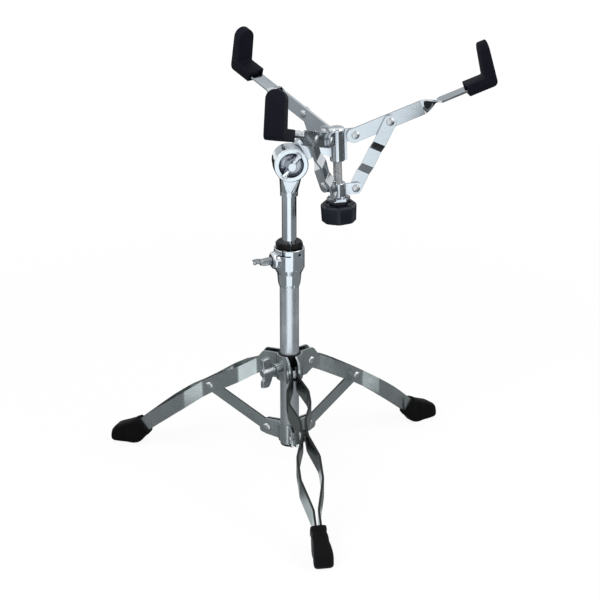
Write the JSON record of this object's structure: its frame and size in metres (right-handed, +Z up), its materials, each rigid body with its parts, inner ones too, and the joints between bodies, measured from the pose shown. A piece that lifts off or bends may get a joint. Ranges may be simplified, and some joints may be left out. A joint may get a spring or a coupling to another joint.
{
  "type": "snare drum stand",
  "caption": "Folding tripod stand with a telescopic chromed tube, a tilter and an offset basket of rubber-tipped arms that closes on a snare drum.",
  "frame": {"origin": "on the floor under the tube's axis", "axes": "+Z up the tube, the front leg along -Y, the basket offset towards +X"},
  "size_m": [0.5043, 0.467, 0.5828],
  "materials": {
    "tube_chrome": "bright chrome plate",
    "cast_chrome": "bright chrome plate on castings",
    "arm_chrome": "bright chrome plate on strip",
    "leg_steel": "plated steel strip",
    "fastener_steel": "plated steel",
    "brass_insert": "turned brass",
    "black_rubber": "moulded rubber, fine matt skin",
    "black_plastic": "moulded nylon",
    "friction_disc": "fibre disc"
  },
  "bodies": {
    "base": {"lower_tube": "tube_chrome", "tube_end_plug": "black_plastic", "hub_fixing_screw": "fastener_steel", "height_collar": "cast_chrome", "height_bushing": "black_plastic", "lower_hub_plate_front_right": "leg_steel", "lower_hub_plate_rear": "leg_steel", "lower_hub_plate_front_left": "leg_steel", "lower_pivot_rivets": "fastener_steel"},
    "height_wing": {"height_wing_bolt": "cast_chrome"},
    "leg_hub": {"leg_hub_plate_front_right": "leg_steel", "leg_hub_plate_rear": "leg_steel", "leg_hub_plate_front_left": "leg_steel", "leg_hub_liner": "black_plastic", "leg_pivot_rivets": "fastener_steel", "leg_clamp_nut": "fastener_steel"},
    "leg_wing": {"leg_wing_bolt": "cast_chrome"},
    "guide": {"guide_bush": "black_plastic"},
    "mast": {"upper_tube": "tube_chrome", "tilter_yoke": "cast_chrome", "friction_washer": "friction_disc"},
    "tilter_wing": {"tilter_wing_bolt": "cast_chrome"},
    "basket_head": {"basket_bracket": "cast_chrome", "basket_hub": "cast_chrome", "basket_rod": "fastener_steel", "arm_pivot_rivets": "fastener_steel", "tilter_nut": "fastener_steel"},
    "slider": {"slide_collar": "cast_chrome", "link_pivot_rivets": "fastener_steel"},
    "knob": {"basket_knob": "black_plastic", "knob_insert": "brass_insert"},
    "strut_front": {"strut_front": "leg_steel"},
    "leg_front": {"leg_front_strip_a": "leg_steel", "leg_front_strip_b": "leg_steel", "leg_front_rivets": "fastener_steel", "foot_front": "black_rubber"},
    "strut_right": {"strut_right": "leg_steel"},
    "leg_right": {"leg_right_strip_a": "leg_steel", "leg_right_strip_b": "leg_steel", "leg_right_rivets": "fastener_steel", "foot_right": "black_rubber"},
    "strut_left": {"strut_left": "leg_steel"},
    "leg_left": {"leg_left_strip_a": "leg_steel", "leg_left_strip_b": "leg_steel", "leg_left_rivets": "fastener_steel", "foot_left": "black_rubber"},
    "arm_right": {"arm_right": "arm_chrome", "grip_right": "black_rubber", "arm_right_rivet": "fastener_steel"},
    "link_right": {"link_right": "arm_chrome"},
    "arm_rear": {"arm_rear": "arm_chrome", "grip_rear": "black_rubber", "arm_rear_rivet": "fastener_steel"},
    "link_rear": {"link_rear": "arm_chrome"},
    "arm_front": {"arm_front": "arm_chrome", "grip_front": "black_rubber", "arm_front_rivet": "fastener_steel"},
    "link_front": {"link_front": "arm_chrome"}
  },
  "joints": [
    {"name": "strut_front_fold", "type": "hinge", "parent": "base", "child": "strut_front", "pos_m": [0, -0.032, 0.06], "axis": [-1, 0, 0], "range_deg": [0, 46]},
    {"name": "strut_right_fold", "type": "hinge", "parent": "base", "child": "strut_right", "pos_m": [0.02771, 0.016, 0.06], "axis": [0.5, -0.866, 0], "range_deg": [0, 46]},
    {"name": "strut_left_fold", "type": "hinge", "parent": "base", "child": "strut_left", "pos_m": [-0.02771, 0.016, 0.06], "axis": [0.5, 0.866, 0], "range_deg": [0, 46]},
    {"name": "leg_front_fold", "type": "hinge", "parent": "strut_front", "child": "leg_front", "pos_m": [0, -0.116, 0.108], "axis": [-1, 0, 0], "range_deg": [-92, 0]},
    {"name": "leg_right_fold", "type": "hinge", "parent": "strut_right", "child": "leg_right", "pos_m": [0.10046, 0.058, 0.108], "axis": [0.5, -0.866, 0], "range_deg": [-92, 0]},
    {"name": "leg_left_fold", "type": "hinge", "parent": "strut_left", "child": "leg_left", "pos_m": [-0.10046, 0.058, 0.108], "axis": [0.5, 0.866, 0], "range_deg": [-92, 0]},
    {"name": "leg_hub_travel", "type": "hinge", "parent": "leg_front", "child": "leg_hub", "pos_m": [0, -0.032, 0.156], "axis": [-1, 0, 0], "range_deg": [0, 46]},
    {"name": "leg_wing_turn", "type": "hinge", "parent": "leg_hub", "child": "leg_wing", "pos_m": [0, 0, 0.156], "axis": [-0.866, -0.5, 0], "range_deg": [0, 360]},
    {"name": "height_wing_turn", "type": "hinge", "parent": "base", "child": "height_wing", "pos_m": [0, 0, 0.308], "axis": [-0.9659, -0.2588, 0], "range_deg": [0, 360]},
    {"name": "height_slide", "type": "slide", "parent": "base", "child": "guide", "axis": [0, 0, 1], "range_m": [-0.058, 0.11]},
    {"name": "mast_swivel", "type": "hinge", "parent": "guide", "child": "mast", "pos_m": [0, 0, 0.156], "axis": [0, 0, 1], "continuous": true},
    {"name": "basket_tilt", "type": "hinge", "parent": "mast", "child": "basket_head", "pos_m": [0, 0, 0.439], "axis": [0, -1, 0], "range_deg": [-14, 50]},
    {"name": "tilter_wing_turn", "type": "hinge", "parent": "mast", "child": "tilter_wing", "pos_m": [0, 0, 0.439], "axis": [0, -1, 0], "range_deg": [0, 360]},
    {"name": "basket_slide", "type": "slide", "parent": "basket_head", "child": "slider", "axis": [-0.0349, 0, 0.9994], "range_m": [-0.00268, 0.00854]},
    {"name": "knob_turn", "type": "hinge", "parent": "slider", "child": "knob", "pos_m": [0.06612, 0.012, 0.39378], "axis": [-0.0349, 0, 0.9994], "range_deg": [-644.78, 2053]},
    {"name": "arm_right_swing", "type": "hinge", "parent": "basket_head", "child": "arm_right", "pos_m": [0.08708, 0.012, 0.46686], "axis": [0, -1, 0], "range_deg": [-4.48, 14.26]},
    {"name": "link_right_swing", "type": "hinge", "parent": "arm_right", "child": "link_right", "pos_m": [0.13141, 0.012, 0.48334], "axis": [0, -1, 0], "range_deg": [-11.22, 3.52]},
    {"name": "arm_rear_swing", "type": "hinge", "parent": "basket_head", "child": "arm_rear", "pos_m": [0.05185, 0.03235, 0.46563], "axis": [0.8655, 0.5, 0.0302], "range_deg": [-4.48, 14.26]},
    {"name": "link_rear_swing", "type": "hinge", "parent": "arm_rear", "child": "link_rear", "pos_m": [0.0289, 0.07122, 0.47976], "axis": [0.8655, 0.5, 0.0302], "range_deg": [-11.22, 3.52]},
    {"name": "arm_front_swing", "type": "hinge", "parent": "basket_head", "child": "arm_front", "pos_m": [0.05185, -0.00835, 0.46563], "axis": [-0.8655, 0.5, -0.0302], "range_deg": [-4.48, 14.26]},
    {"name": "link_front_swing", "type": "hinge", "parent": "arm_front", "child": "link_front", "pos_m": [0.0289, -0.04722, 0.47976], "axis": [-0.8655, 0.5, -0.0302], "range_deg": [-11.22, 3.52]}
  ],
  "couplings": [
    {"joint": "strut_right_fold", "follows": "strut_front_fold", "ratio": 1},
    {"joint": "strut_left_fold", "follows": "strut_front_fold", "ratio": 1},
    {"joint": "leg_front_fold", "follows": "strut_front_fold", "ratio": -2},
    {"joint": "leg_right_fold", "follows": "strut_front_fold", "ratio": -2},
    {"joint": "leg_left_fold", "follows": "strut_front_fold", "ratio": -2},
    {"joint": "leg_hub_travel", "follows": "strut_front_fold", "ratio": 1},
    {"joint": "knob_turn", "follows": "basket_slide", "rad_per_m": 4188.8},
    {"joint": "arm_right_swing", "follows": "basket_slide", "rad_per_m": 29.088},
    {"joint": "link_right_swing", "follows": "basket_slide", "rad_per_m": -22.891},
    {"joint": "arm_rear_swing", "follows": "basket_slide", "rad_per_m": 29.088},
    {"joint": "link_rear_swing", "follows": "basket_slide", "rad_per_m": -22.891},
    {"joint": "arm_front_swing", "follows": "basket_slide", "rad_per_m": 29.088},
    {"joint": "link_front_swing", "follows": "basket_slide", "rad_per_m": -22.891}
  ]
}
